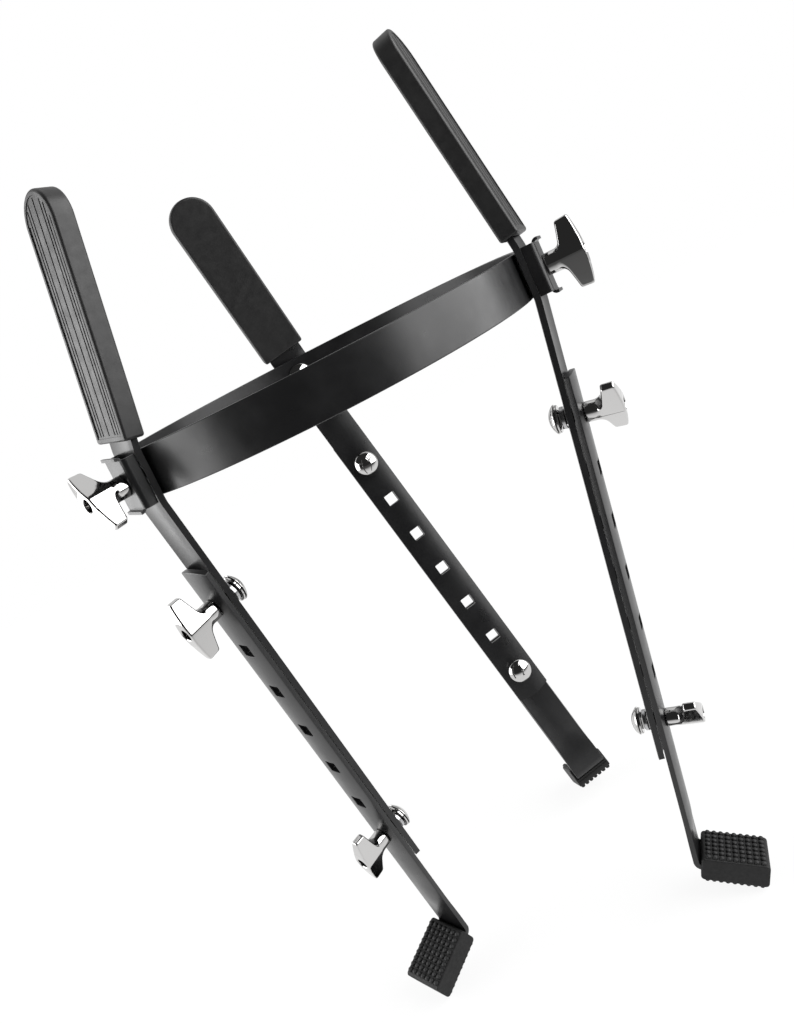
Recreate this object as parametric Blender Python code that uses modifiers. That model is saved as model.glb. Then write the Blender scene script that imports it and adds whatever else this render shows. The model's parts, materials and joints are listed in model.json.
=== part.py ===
"""Conga stand: a steel hoop on three legs, whose rubber-covered arms hold the drum.

Lengths are in metres and angles in degrees. Each leg is modelled once, in the leg's own frame:
X outwards from the hoop, Y along the hoop and Z up, from the point where the hoop bolt's axis
leaves the hoop's outer face. Three empties on those axes carry the three legs.
"""
import math

import bmesh
import bpy
import numpy as np
from mathutils import Matrix, Vector

# Clearance that is left wherever two pieces touch or seat
CLEARANCE = 0.0003

# Hoop, rolled from flat strip
HOOP_OUTER_RADIUS = 0.153
HOOP_WALL = 0.003
HOOP_HEIGHT = 0.030

# Where each leg stands round the hoop, how far it is swivelled off upright, and how far its lower
# half is bent inwards
LEGS = {
    "right": {"azimuth": -30.0, "swivel": -3.2, "lean": 8.4},
    "back": {"azimuth": 90.0, "swivel": -8.3, "lean": 10.0},
    "left": {"azimuth": 210.0, "swivel": -7.4, "lean": 9.5},
}

# How far each wing nut is turned from lying along its leg
NUT_TURNS = {
    "right": {"hoop": 5.0, "upper": 44.0, "lower": 47.0},
    "back": {"hoop": 0.0, "upper": 0.0, "lower": 0.0},
    "left": {"hoop": 46.0, "upper": 2.0, "lower": -6.0},
}

# Bars, pressed from strip with a curved section
BAR_WIDTH = 0.030
BAR_THICKNESS = 0.004
BAR_BULGE = 0.002
BAR_END_CROWN = 0.0025
BAR_BEND_RADIUS = 0.022
ARM_LEAN = 10.0

# Holes for the leg bolts, and the lengths of bar past the end ones
FIRST_HOLE_BELOW_HOOP = 0.080
HOLE_PITCH = 0.0377
HOLE_COUNT = 7
HOLE_PLAY = 0.00085
LOWER_BAR_LEAD = 0.0268
UPPER_BAR_TAIL = 0.0243
LOWER_BAR_DROP = 0.1149

# Arm grip: a rubber sleeve with a round tip and a ribbed outer face
GRIP_ABOVE_HOOP = 0.009
GRIP_LENGTH = 0.144
GRIP_INNER_WALL = 0.0015
GRIP_OUTER_WALL = 0.0051
GRIP_SIDE_WALL = 0.0035
GRIP_EDGE_ROUND = 0.0018
PANEL_MARGIN = 0.0032
PANEL_DEPTH = 0.0005
GROOVE_WIDTH = 0.0013
GROOVE_DEPTH = 0.0011
GROOVE_END_MARGIN = 0.0012
CENTRE_RIB = 0.0062
SIDE_RIB = 0.0021

# Foot: a rubber shoe on the bar's turned-out end
FOOT_TURN = 75.9
FOOT_BEND_RADIUS = 0.0045
FOOT_MOUTH = 0.0036
FOOT_LENGTH = 0.0447
FOOT_COVER = 0.0068
FOOT_SIDE_WALL = 0.0017
FOOT_END_WALL = 0.006
FOOT_EDGE_ROUND = 0.0028
FLATTENING_START = 0.040
FLATTENING_END = 0.012
NUBS_ALONG = 9
NUBS_ACROSS = 7
NUB_HEIGHT = 0.0018
NUB_SLOPE_WIDTH = 0.0009
NUB_END_MARGIN = 0.0014
NUB_SIDE_MARGIN = 0.0014
NUB_SKIRT = 0.0013

# Hoop clamp: a pressed channel that stands on the bar, its two ends curled outwards
CLAMP_WALL = 0.0022
CLAMP_WIDTH = 0.0244
CLAMP_RISE = 0.0090
CLAMP_OVERHANG = 0.0010
CLAMP_CORNER_RADIUS = 0.0022
CLAMP_LIP_REACH = 0.0023
CLAMP_LIP_RISE = 0.0013
CLAMP_LIP_RADIUS = 0.0025

# Carriage bolts and their washers
BOLT_DIAMETER = 0.008
BOLT_LENGTH = 0.045
BOLT_END_CHAMFER = 0.0008
HEAD_DIAMETER = 0.020
HEAD_HEIGHT = 0.0053
HEAD_RIM = 0.0008
NECK_SIDE = 0.0081
NECK_LENGTH = 0.0085
SPRING_WASHER_RIM = 0.0015
SPRING_WASHER_HEIGHT = 0.0044
SPRING_WASHER_SLIT = 0.0012
SPRING_WASHER_SLANT = 50.0
FLAT_WASHER_RIM = 0.0034
FLAT_WASHER_THICKNESS = 0.0016

# Wing nuts, cast in the shape of a T
NUT_SPAN = 0.050
NUT_LENGTH = 0.0265
NUT_TIP_OUTER = 0.0238
NUT_WAIST = 0.0095
NUT_TIP_INNER = 0.0147
NUT_MIDDLE_THICKNESS = 0.0124
NUT_TIP_THICKNESS = 0.0065
NUT_BOSS_DIAMETER = 0.0134
NUT_EDGE_ROUND = 0.0012
NUT_BORE_PLAY = 0.0003

# Facets round the curves
HOOP_FACETS = 72
BOLT_FACETS = 16
BEND_STEPS = 3
FOOT_BEND_STEPS = 6
BAR_COLUMNS = 4
TIP_STEPS = 14
DOME_STEPS = 3
WING_STEPS = 4


def section_crest(across):
    """How much of the full bulge a bar's faceted section has, at a share of its half width."""
    columns = np.linspace(-1, 1, BAR_COLUMNS + 1)
    return float(np.interp(across, columns, 1 - columns ** 2))


# Sizes that follow from those above
SEAT = BAR_BULGE + CLEARANCE
LOWER_BAR_OUT = BAR_THICKNESS + CLEARANCE
HOLE_SIDE = NECK_SIDE + 2 * HOLE_PLAY
NECK_BORE = NECK_SIDE * math.sqrt(2) + 2 * CLEARANCE
FIRST_HOLE = HOOP_HEIGHT / 2 + FIRST_HOLE_BELOW_HOOP
LAST_HOLE = FIRST_HOLE + (HOLE_COUNT - 1) * HOLE_PITCH
FOOT_PIVOT = LAST_HOLE + LOWER_BAR_DROP
GRIP_START = HOOP_HEIGHT / 2 + GRIP_ABOVE_HOOP
GRIP_WIDTH = BAR_WIDTH + 2 * (CLEARANCE + GRIP_SIDE_WALL)
GRIP_INNER_FACE = -BAR_BULGE - CLEARANCE - GRIP_INNER_WALL
GRIP_OUTER_FACE = BAR_THICKNESS + CLEARANCE + GRIP_OUTER_WALL
ARM_REACH = GRIP_START + GRIP_LENGTH - GRIP_WIDTH / 2
FOOT_WIDTH = BAR_WIDTH + 2 * (CLEARANCE + FOOT_SIDE_WALL)
FOOT_HEIGHT = BAR_THICKNESS + 2 * (CLEARANCE + FOOT_COVER)
TONGUE_END = FOOT_MOUTH + FOOT_LENGTH - FOOT_END_WALL
CLAMP_FOOT = SEAT + BAR_THICKNESS + CLEARANCE - BAR_BULGE * section_crest(CLAMP_WIDTH / BAR_WIDTH)
WEB_OUTER = CLAMP_FOOT + CLAMP_RISE
CLAMP_HALF_LENGTH = HOOP_HEIGHT / 2 + CLAMP_OVERHANG
HOOP_NUT_SEAT = WEB_OUTER + CLEARANCE
LEG_NUT_SEAT = LOWER_BAR_OUT + BAR_BULGE + BAR_THICKNESS + CLEARANCE
HOOP_INNER_RADIUS = HOOP_OUTER_RADIUS - HOOP_WALL
HEAD_CHORD = math.sqrt(HOOP_INNER_RADIUS ** 2 - (HEAD_DIAMETER / 2) ** 2)
HOOP_HEAD_SEAT = HEAD_CHORD - HOOP_OUTER_RADIUS - CLEARANCE
SPRING_WASHER_SEAT = -BAR_BULGE - CLEARANCE
FLAT_WASHER_SEAT = SPRING_WASHER_SEAT - SPRING_WASHER_HEIGHT - CLEARANCE
LEG_HEAD_SEAT = FLAT_WASHER_SEAT - FLAT_WASHER_THICKNESS - CLEARANCE

# Colour, roughness and metallic value of each finish
FINISHES = {
    "powder_coat": ((0.018, 0.018, 0.019, 1.0), 0.42, 0.0),
    "rubber": ((0.028, 0.027, 0.027, 1.0), 0.62, 0.0),
    "chrome": ((0.82, 0.82, 0.83, 1.0), 0.12, 1.0),
}

# A cut runs this far past the faces that it opens
OVERCUT = 0.002


# Scene and collections

def new_collection(name):
    collection = bpy.data.collections.new(name)
    bpy.context.scene.collection.children.link(collection)
    return collection


for leftover in list(bpy.data.objects):
    bpy.data.objects.remove(leftover, do_unlink=True)
stand = new_collection("conga_stand")
workshop = new_collection("cutters")


# Shape helpers: each gives back a mesh

def evaluated_mesh(data):
    """The mesh that Blender makes of a curve, or of a mesh as it is."""
    holder = bpy.data.objects.new("holder", data)
    workshop.objects.link(holder)
    return baked(holder)


def baked(holder):
    """The holder's mesh with its modifiers applied; the holder is removed."""
    depsgraph = bpy.context.evaluated_depsgraph_get()
    mesh = bpy.data.meshes.new_from_object(holder.evaluated_get(depsgraph))
    bpy.data.objects.remove(holder)
    return mesh


def modified(mesh, kind, **settings):
    """The mesh after one modifier."""
    holder = bpy.data.objects.new("holder", mesh)
    workshop.objects.link(holder)
    modifier = holder.modifiers.new(kind.title(), kind)
    for name, value in settings.items():
        setattr(modifier, name, value)
    return baked(holder)


def joined_or_cut(mesh, tool_mesh, operation):
    """The mesh joined with the tool, UNION, or cut by it, DIFFERENCE."""
    tool = bpy.data.objects.new("cutter", tool_mesh)
    workshop.objects.link(tool)
    tool.hide_render = True
    tool.display_type = "WIRE"
    result = modified(mesh, "BOOLEAN", operation=operation, object=tool, solver="EXACT")
    bpy.data.objects.remove(tool)
    return result


def rounded(mesh, width, segments=1, angle=35.0):
    """The mesh with its sharp edges rounded."""
    limit = math.radians(angle)
    return modified(mesh, "BEVEL", width=width, segments=segments, limit_method="ANGLE", angle_limit=limit)


def as_mesh(shape, name="shape"):
    """A mesh from a bmesh, which is freed."""
    mesh = bpy.data.meshes.new(name)
    shape.to_mesh(mesh)
    shape.free()
    return mesh


def placed(mesh, matrix):
    mesh.transform(matrix)
    return mesh


def box(low, high, matrix=Matrix()):
    """A box between two corners."""
    low, high = Vector(low), Vector(high)
    shape = bmesh.new()
    size = Matrix.Diagonal((*(high - low), 1.0))
    bmesh.ops.create_cube(shape, size=1.0, matrix=matrix @ Matrix.Translation((low + high) / 2) @ size)
    return as_mesh(shape)


def rod(diameter, start, end, matrix=Matrix(), facets=BOLT_FACETS):
    """A cylinder along X from start to end."""
    along_x = Matrix.Translation(((start + end) / 2, 0, 0)) @ Matrix.Rotation(math.pi / 2, 4, "Y")
    shape = bmesh.new()
    bmesh.ops.create_cone(
        shape, cap_ends=True, segments=facets, radius1=diameter / 2, radius2=diameter / 2,
        depth=end - start, matrix=matrix @ along_x)
    return as_mesh(shape)


def together(meshes):
    """Several meshes as one, for a cutter of several bodies."""
    shape = bmesh.new()
    for mesh in meshes:
        shape.from_mesh(mesh)
    return as_mesh(shape)


def turned(profile, facets, closed=False):
    """A profile of radius and height, outer side running down, turned round Z."""
    shape = bmesh.new()
    corners = [shape.verts.new((radius, 0, height)) for radius, height in profile]
    for first, second in zip(corners, corners[1:]):
        shape.edges.new((first, second))
    if closed:
        shape.edges.new((corners[-1], corners[0]))
    return modified(
        as_mesh(shape), "SCREW", axis="Z", steps=facets, render_steps=facets,
        use_merge_vertices=True, merge_threshold=0.00001, use_normal_calculate=False)


def plate(outline, thickness):
    """A flat plate with an outline in X and Y, centred on Z."""
    curve = bpy.data.curves.new("outline", "CURVE")
    curve.dimensions = "2D"
    curve.fill_mode = "BOTH"
    curve.extrude = thickness / 2
    spline = curve.splines.new("POLY")
    spline.points.add(len(outline) - 1)
    for point, (x, y) in zip(spline.points, outline):
        point.co = (x, y, 0, 1)
    spline.use_cyclic_u = True
    shape = bmesh.new()
    shape.from_mesh(evaluated_mesh(curve))
    bmesh.ops.remove_doubles(shape, verts=shape.verts, dist=0.000001)
    bmesh.ops.dissolve_limit(
        shape, angle_limit=math.radians(1), verts=shape.verts, edges=shape.edges)
    bmesh.ops.recalc_face_normals(shape, faces=shape.faces)
    return as_mesh(shape)


# Lines that the bars follow, in the leg's frame

def bend_reach(lean):
    """How far a bend's corner lies past the hoop's rim, so that the bend starts at the rim."""
    return BAR_BEND_RADIUS * math.tan(math.radians(lean) / 2)


def line_base(lean):
    """Where an arm's or leg's inner line would cross the hoop's mid-height."""
    return SEAT + (HOOP_HEIGHT / 2 + bend_reach(lean)) * math.tan(math.radians(lean))


def arm_frame(run, out=0.0):
    """The frame at a point of the arm: X outwards, Z up the arm; run is from the hoop's mid-height."""
    turn = Matrix.Rotation(-math.radians(ARM_LEAN), 4, "Y")
    return Matrix.Translation((line_base(ARM_LEAN), 0, 0)) @ turn @ Matrix.Translation((out, 0, run))


def leg_frame(lean, run, out=0.0):
    """The frame at a point of the leg: X outwards, Z up the leg; run is downwards from mid-height."""
    turn = Matrix.Rotation(math.radians(lean), 4, "Y")
    return Matrix.Translation((line_base(lean), 0, 0)) @ turn @ Matrix.Translation((out, 0, -run))


def foot_frame(lean):
    """The frame of the turned-out foot: X outwards along it and Z up through its thickness."""
    pivot = leg_frame(lean, FOOT_PIVOT, LOWER_BAR_OUT + BAR_THICKNESS / 2).translation
    return Matrix.Translation(pivot) @ Matrix.Rotation(math.radians(lean + 90 - FOOT_TURN), 4, "Y")


def side_point(matrix):
    """A frame's origin as a point in the leg's side view."""
    return Vector((matrix.translation.x, matrix.translation.z))


def crossing(lean):
    """The side-view corner above the hoop where the bar's middle line turns from upright to leaning."""
    upright = SEAT + BAR_THICKNESS / 2
    angle = math.radians(lean)
    shift = BAR_THICKNESS / 2
    run = (line_base(lean) + shift * math.cos(angle) - upright) / math.sin(angle)
    return Vector((upright, run * math.cos(angle) + shift * math.sin(angle)))


def rounded_path(corners, bends):
    """Points and headings along a line of corners; each inner corner has a bend radius and steps."""
    route = [(corners[0], (corners[1] - corners[0]).normalized())]
    for before, corner, after, (radius, steps) in zip(corners, corners[1:], corners[2:], bends):
        coming = (corner - before).normalized()
        going = (after - corner).normalized()
        turn = math.atan2(coming.cross(going), coming.dot(going))
        start = corner - coming * radius * math.tan(abs(turn) / 2)
        side = Vector((-coming.y, coming.x)) * math.copysign(radius, turn)
        for step in range(steps + 1):
            swing = Matrix.Rotation(turn * step / steps if steps else 0.0, 2)
            route.append((start + side - swing @ side, swing @ coming))
    route.append((corners[-1], (corners[-1] - corners[-2]).normalized()))
    return route


def pressed_strip(route, bulges, start_crown=0.0, end_crown=0.0):
    """A strip along the route, its section bulging to the heading's left, its ends cut to arcs."""
    rows = len(route) - 1
    shape = bmesh.new()
    bmesh.ops.create_grid(shape, x_segments=rows, y_segments=BAR_COLUMNS, size=1)
    for vertex in shape.verts:
        row = round((vertex.co.x + 1) / 2 * rows)
        across = vertex.co.y
        point, heading = route[row]
        left = Vector((-heading.y, heading.x))
        crest = section_crest(across)
        edge_tilt = math.atan(4 * bulges[row] / BAR_WIDTH)
        half_width = BAR_WIDTH / 2 - BAR_THICKNESS / 2 * abs(math.sin(edge_tilt))
        spot = point + left * bulges[row] * crest
        if row == 0:
            spot = spot - heading * start_crown * crest
        if row == rows:
            spot = spot + heading * end_crown * crest
        vertex.co = (spot.x, across * half_width, spot.y)
    return modified(
        as_mesh(shape), "SOLIDIFY", thickness=BAR_THICKNESS, offset=0.0, use_even_offset=True)


# Pieces of one leg

def square_holes(lean):
    """Cutters for the row of square holes that both bars have."""
    half = HOLE_SIDE / 2
    inner = -BAR_BULGE - OVERCUT
    outer = LEG_NUT_SEAT + OVERCUT
    frames = [leg_frame(lean, FIRST_HOLE + index * HOLE_PITCH) for index in range(HOLE_COUNT)]
    return together([box((inner, -half, -half), (outer, half, half), frame) for frame in frames])


def make_upper_bar(lean):
    below = crossing(lean)
    corners = [
        side_point(arm_frame(ARM_REACH, BAR_THICKNESS / 2)),
        crossing(ARM_LEAN),
        Vector((below.x, -below.y)),
        side_point(leg_frame(lean, LAST_HOLE + UPPER_BAR_TAIL, BAR_THICKNESS / 2)),
    ]
    route = rounded_path(corners, [(BAR_BEND_RADIUS, BEND_STEPS)] * 2)
    bar = pressed_strip(route, [-BAR_BULGE] * len(route), BAR_END_CROWN, BAR_END_CROWN)
    bar = joined_or_cut(bar, square_holes(lean), "DIFFERENCE")
    pivot_hole = rod(NECK_BORE, -OVERCUT, SEAT + BAR_THICKNESS + OVERCUT)
    return joined_or_cut(bar, pivot_hole, "DIFFERENCE")


def make_lower_bar(lean):
    middle = LOWER_BAR_OUT + BAR_THICKNESS / 2
    tip = foot_frame(lean) @ Matrix.Translation((TONGUE_END, 0, 0))
    flat_steps = 4
    flattening = np.linspace(FLATTENING_START, FLATTENING_END, flat_steps + 1)
    corners = [side_point(leg_frame(lean, FIRST_HOLE - LOWER_BAR_LEAD, middle))]
    corners += [side_point(leg_frame(lean, FOOT_PIVOT - back, middle)) for back in flattening]
    corners += [side_point(leg_frame(lean, FOOT_PIVOT, middle)), side_point(tip)]
    bends = [(0.0, 0)] * len(flattening) + [(FOOT_BEND_RADIUS, FOOT_BEND_STEPS)]
    route = rounded_path(corners, bends)
    shares = 0.5 + 0.5 * np.cos(np.linspace(0, math.pi, flat_steps + 1))
    bulges = [BAR_BULGE] + [BAR_BULGE * float(share) for share in shares]
    bulges += [0.0] * (len(route) - len(bulges))
    bar = pressed_strip(route, bulges, BAR_END_CROWN)
    return joined_or_cut(bar, square_holes(lean), "DIFFERENCE")


def tongue_outline(half_width, bottom, centre, steps=TIP_STEPS):
    """An outline with a straight foot at the bottom and a half-round top about the centre."""
    angles = np.linspace(0, math.pi, steps + 1)
    top = [(half_width * math.cos(a), centre + half_width * math.sin(a)) for a in angles]
    return [(-half_width, bottom), (half_width, bottom)] + top


def facing_out(run_outwards):
    """Turns a plate drawn in X and Y to lie across X, its Y up the arm and its middle at a depth."""
    turn = Matrix(((0, 0, 1, run_outwards), (1, 0, 0, 0), (0, 1, 0, 0), (0, 0, 0, 1)))
    return arm_frame(0) @ turn


def groove_places():
    """Where the grooves lie across the grip: one in the middle and three towards each side."""
    pitch_in = CENTRE_RIB + GROOVE_WIDTH
    pitch_out = SIDE_RIB + GROOVE_WIDTH
    side = [pitch_in, pitch_in + pitch_out, pitch_in + 2 * pitch_out]
    return [-place for place in reversed(side)] + [0.0] + side


def make_arm_grip():
    thickness = GRIP_OUTER_FACE - GRIP_INNER_FACE
    middle = (GRIP_OUTER_FACE + GRIP_INNER_FACE) / 2
    grip = plate(tongue_outline(GRIP_WIDTH / 2, GRIP_START, ARM_REACH), thickness)
    grip = rounded(placed(grip, facing_out(middle)), GRIP_EDGE_ROUND, segments=2)

    half_pocket = BAR_WIDTH / 2 + CLEARANCE
    pocket = box(
        (-BAR_BULGE - CLEARANCE, -half_pocket, GRIP_START - OVERCUT),
        (BAR_THICKNESS + CLEARANCE, half_pocket, ARM_REACH + BAR_END_CROWN + CLEARANCE),
        arm_frame(0))
    grip = joined_or_cut(grip, pocket, "DIFFERENCE")

    panel_half = GRIP_WIDTH / 2 - PANEL_MARGIN
    panel_bottom = GRIP_START + PANEL_MARGIN
    panel = plate(tongue_outline(panel_half, panel_bottom, ARM_REACH), 2 * PANEL_DEPTH)
    grip = joined_or_cut(grip, placed(panel, facing_out(GRIP_OUTER_FACE)), "DIFFERENCE")

    floor = GRIP_OUTER_FACE - PANEL_DEPTH - GROOVE_DEPTH
    reach = panel_half - GROOVE_END_MARGIN
    grooves = []
    for place in groove_places():
        top = ARM_REACH + math.sqrt(max(reach ** 2 - place ** 2, 0.0))
        low = (floor, place - GROOVE_WIDTH / 2, panel_bottom + GROOVE_END_MARGIN)
        high = (GRIP_OUTER_FACE + OVERCUT, place + GROOVE_WIDTH / 2, top)
        grooves.append(box(low, high, arm_frame(0)))
    return joined_or_cut(grip, together(grooves), "DIFFERENCE")


def nub_pad():
    """A closed pad of nubs in X and Y, from a skirt below zero up to the nubs' tops."""
    length = FOOT_LENGTH - 2 * NUB_END_MARGIN
    width = FOOT_WIDTH - 2 * NUB_SIDE_MARGIN
    size = Matrix.Diagonal((length / 2, width / 2, 1.0, 1.0))
    shape = bmesh.new()
    bmesh.ops.create_grid(
        shape, x_segments=NUBS_ALONG, y_segments=NUBS_ACROSS, size=1, matrix=size)
    cells = list(shape.faces)
    rim = [edge for edge in shape.edges if edge.is_boundary]
    skirt = bmesh.ops.extrude_edge_only(shape, edges=rim)["geom"]
    lowered = [item for item in skirt if isinstance(item, bmesh.types.BMVert)]
    bmesh.ops.translate(shape, verts=lowered, vec=(0, 0, -NUB_SKIRT))
    bmesh.ops.contextual_create(shape, geom=[edge for edge in shape.edges if edge.is_boundary])
    bmesh.ops.inset_individual(shape, faces=cells, thickness=NUB_SLOPE_WIDTH, depth=NUB_HEIGHT)
    bmesh.ops.recalc_face_normals(shape, faces=shape.faces)
    return as_mesh(shape)


def make_foot():
    """The foot in its own frame, X along it from the bend of the bar and Z through its thickness."""
    half_width = FOOT_WIDTH / 2
    half_height = FOOT_HEIGHT / 2
    end = FOOT_MOUTH + FOOT_LENGTH
    foot = box((FOOT_MOUTH, -half_width, -half_height), (end, half_width, half_height))
    foot = rounded(foot, FOOT_EDGE_ROUND, segments=2)
    middle = FOOT_MOUTH + FOOT_LENGTH / 2
    for turn in (0.0, math.pi):
        lift = Matrix.Translation((0, 0, half_height))
        lay = Matrix.Translation((middle, 0, 0)) @ Matrix.Rotation(turn, 4, "X") @ lift
        foot = joined_or_cut(foot, placed(nub_pad(), lay), "UNION")
    half_pocket = BAR_WIDTH / 2 + CLEARANCE
    half_gap = BAR_THICKNESS / 2 + CLEARANCE
    pocket = box(
        (FOOT_MOUTH - OVERCUT, -half_pocket, -half_gap),
        (TONGUE_END + CLEARANCE, half_pocket, half_gap))
    return joined_or_cut(foot, pocket, "DIFFERENCE")


def sheet(route, half_width, wall, matrix):
    """A sheet that follows a side-view route, of one width and wall."""
    rows = len(route) - 1
    shape = bmesh.new()
    bmesh.ops.create_grid(shape, x_segments=rows, y_segments=1, size=1)
    for vertex in shape.verts:
        point = route[round((vertex.co.x + 1) / 2 * rows)][0]
        vertex.co = (point.x, vertex.co.y * half_width, point.y)
    solid = modified(as_mesh(shape), "SOLIDIFY", thickness=wall, offset=0.0, use_even_offset=True)
    return placed(solid, matrix)


def make_hoop_clamp():
    web_middle = WEB_OUTER - CLAMP_WALL / 2
    side = (CLAMP_WIDTH - CLAMP_WALL) / 2
    corner = (CLAMP_CORNER_RADIUS, 3)
    channel_route = rounded_path(
        [Vector((CLAMP_FOOT, side)), Vector((web_middle, side)), Vector((web_middle, -side)),
         Vector((CLAMP_FOOT, -side))], [corner, corner])
    upright = Matrix.Rotation(math.pi / 2, 4, "X")
    clamp = sheet(channel_route, CLAMP_HALF_LENGTH, CLAMP_WALL, upright)

    lip_height = CLAMP_HALF_LENGTH + CLAMP_LIP_RISE
    lip_end = WEB_OUTER + CLAMP_LIP_REACH
    lip = (CLAMP_LIP_RADIUS, 3)
    lip_route = rounded_path(
        [Vector((lip_end, lip_height)), Vector((web_middle, lip_height)),
         Vector((web_middle, -lip_height)), Vector((lip_end, -lip_height))], [lip, lip])
    lips = sheet(lip_route, CLAMP_WIDTH / 2 - CLEARANCE, CLAMP_WALL - CLEARANCE, Matrix())
    clamp = joined_or_cut(clamp, lips, "UNION")
    bore = rod(BOLT_DIAMETER + 2 * NUT_BORE_PLAY, CLAMP_FOOT, HOOP_NUT_SEAT + OVERCUT)
    return joined_or_cut(clamp, bore, "DIFFERENCE")


# Fasteners: each lies along X from its seat at zero

def make_bolt():
    """A carriage bolt, its head's underside at zero and its shank along +X."""
    radius = HEAD_DIAMETER / 2
    dome = HEAD_HEIGHT - HEAD_RIM
    ball = (radius ** 2 + dome ** 2) / (2 * dome)
    sweep = math.asin(radius / ball)
    profile = []
    for angle in np.linspace(0, sweep, DOME_STEPS + 1):
        profile.append((ball * math.sin(angle), HEAD_HEIGHT - ball + ball * math.cos(angle)))
    shank = BOLT_DIAMETER / 2
    profile += [(radius, 0.0), (shank, 0.0), (shank, BOLT_END_CHAMFER - BOLT_LENGTH)]
    profile += [(shank - BOLT_END_CHAMFER, -BOLT_LENGTH), (0.0, -BOLT_LENGTH)]
    bolt = turned(profile, BOLT_FACETS)
    half = NECK_SIDE / 2
    neck = box((-half, -half, -NECK_LENGTH), (half, half, HEAD_RIM))
    bolt = joined_or_cut(bolt, neck, "UNION")
    return placed(bolt, Matrix.Rotation(-math.pi / 2, 4, "Y"))


def washer(rim, thickness):
    """A washer from zero inwards, to -X."""
    inner = NECK_BORE / 2
    outer = inner + rim
    profile = [(inner, 0.0), (outer, 0.0), (outer, -thickness), (inner, -thickness)]
    return placed(turned(profile, BOLT_FACETS, closed=True), Matrix.Rotation(math.pi / 2, 4, "Y"))


def make_flat_washer():
    return washer(FLAT_WASHER_RIM, FLAT_WASHER_THICKNESS)


def make_spring_washer():
    """A tall spring washer, cut through by a slanting slit."""
    ring = washer(SPRING_WASHER_RIM, SPRING_WASHER_HEIGHT)
    slant = Matrix.Rotation(math.radians(SPRING_WASHER_SLANT), 4, "Z")
    middle = Matrix.Translation((-SPRING_WASHER_HEIGHT / 2, 0, 0)) @ slant
    reach = NECK_BORE
    half = SPRING_WASHER_SLIT / 2
    slit = box((-reach, -half, 0.0), (reach, half, NECK_BORE), middle)
    return joined_or_cut(ring, slit, "DIFFERENCE")


def make_wing_nut():
    """A T-shaped nut: tapered wings with a ridge, on a round boss, along +X from its seat."""
    half_span = NUT_SPAN / 2
    boss = NUT_BOSS_DIAMETER / 2
    outline = [(0.0, NUT_WAIST), (boss, NUT_WAIST)]
    for share in np.linspace(0, 1, WING_STEPS + 1)[1:]:
        rise = NUT_WAIST + (NUT_TIP_INNER - NUT_WAIST) * float(share) ** 0.6
        outline.append((boss + (half_span - boss) * float(share), rise))
    for share in np.linspace(1, 0, WING_STEPS + 1):
        height = NUT_LENGTH - (NUT_LENGTH - NUT_TIP_OUTER) * float(share) ** 2
        outline.append((half_span * float(share), height))
    wing = plate(outline, NUT_MIDDLE_THICKNESS)
    for vertex in wing.vertices:
        taper = 1 - NUT_TIP_THICKNESS / NUT_MIDDLE_THICKNESS
        vertex.co.z *= 1 - taper * vertex.co.x / half_span
    wings = modified(
        wing, "MIRROR", use_axis=(True, False, False), use_clip=True, merge_threshold=0.00001,
        use_bisect_axis=(False, False, False))
    shape = bmesh.new()
    shape.from_mesh(wings)
    inside = [face for face in shape.faces if all(abs(v.co.x) < 0.00001 for v in face.verts)]
    bmesh.ops.delete(shape, geom=inside, context="FACES_ONLY")
    bmesh.ops.recalc_face_normals(shape, faces=shape.faces)
    wings = rounded(as_mesh(shape), NUT_EDGE_ROUND, segments=1, angle=40.0)
    across_to_up = Matrix(((0, 1, 0, 0), (0, 0, 1, 0), (1, 0, 0, 0), (0, 0, 0, 1)))
    wings = placed(wings, across_to_up)

    sunk = NUT_WAIST + 2 * NUT_EDGE_ROUND
    profile = [(0.0, sunk + NUT_EDGE_ROUND), (boss - 2 * NUT_EDGE_ROUND, sunk + NUT_EDGE_ROUND)]
    profile += [(boss, NUT_WAIST), (boss, 0.0), (0.0, 0.0)]
    stem = placed(turned(profile, BOLT_FACETS), Matrix.Rotation(math.pi / 2, 4, "Y"))
    nut = joined_or_cut(wings, stem, "UNION")
    bore = rod(BOLT_DIAMETER + 2 * NUT_BORE_PLAY, -OVERCUT, NUT_LENGTH + OVERCUT)
    return joined_or_cut(nut, bore, "DIFFERENCE")


def make_hoop():
    low, high = -HOOP_HEIGHT / 2, HOOP_HEIGHT / 2
    inner, outer = HOOP_INNER_RADIUS, HOOP_OUTER_RADIUS
    profile = [(inner, high), (outer, high), (outer, low), (inner, low)]
    hoop = turned(profile, HOOP_FACETS, closed=True)
    half = NECK_SIDE / 2 + CLEARANCE
    cutters = []
    for leg in LEGS.values():
        low = (-HOOP_WALL - OVERCUT, -half, -half)
        cutters.append(box(low, (OVERCUT, half, half), hoop_frame(leg["azimuth"])))
    return joined_or_cut(hoop, together(cutters), "DIFFERENCE")


def hoop_frame(azimuth):
    """The frame on the hoop's outer face at an azimuth: X outwards and Z up."""
    turn = Matrix.Rotation(math.radians(azimuth), 4, "Z")
    return turn @ Matrix.Translation((HOOP_OUTER_RADIUS, 0, 0))


# Assembly

def nut_turn(side, place):
    return Matrix.Rotation(math.radians(NUT_TURNS[side][place]), 4, "X")


def empty(name, parent=None, matrix=Matrix()):
    thing = bpy.data.objects.new(name, None)
    stand.objects.link(thing)
    thing.parent = parent
    thing.matrix_local = matrix
    return thing


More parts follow.
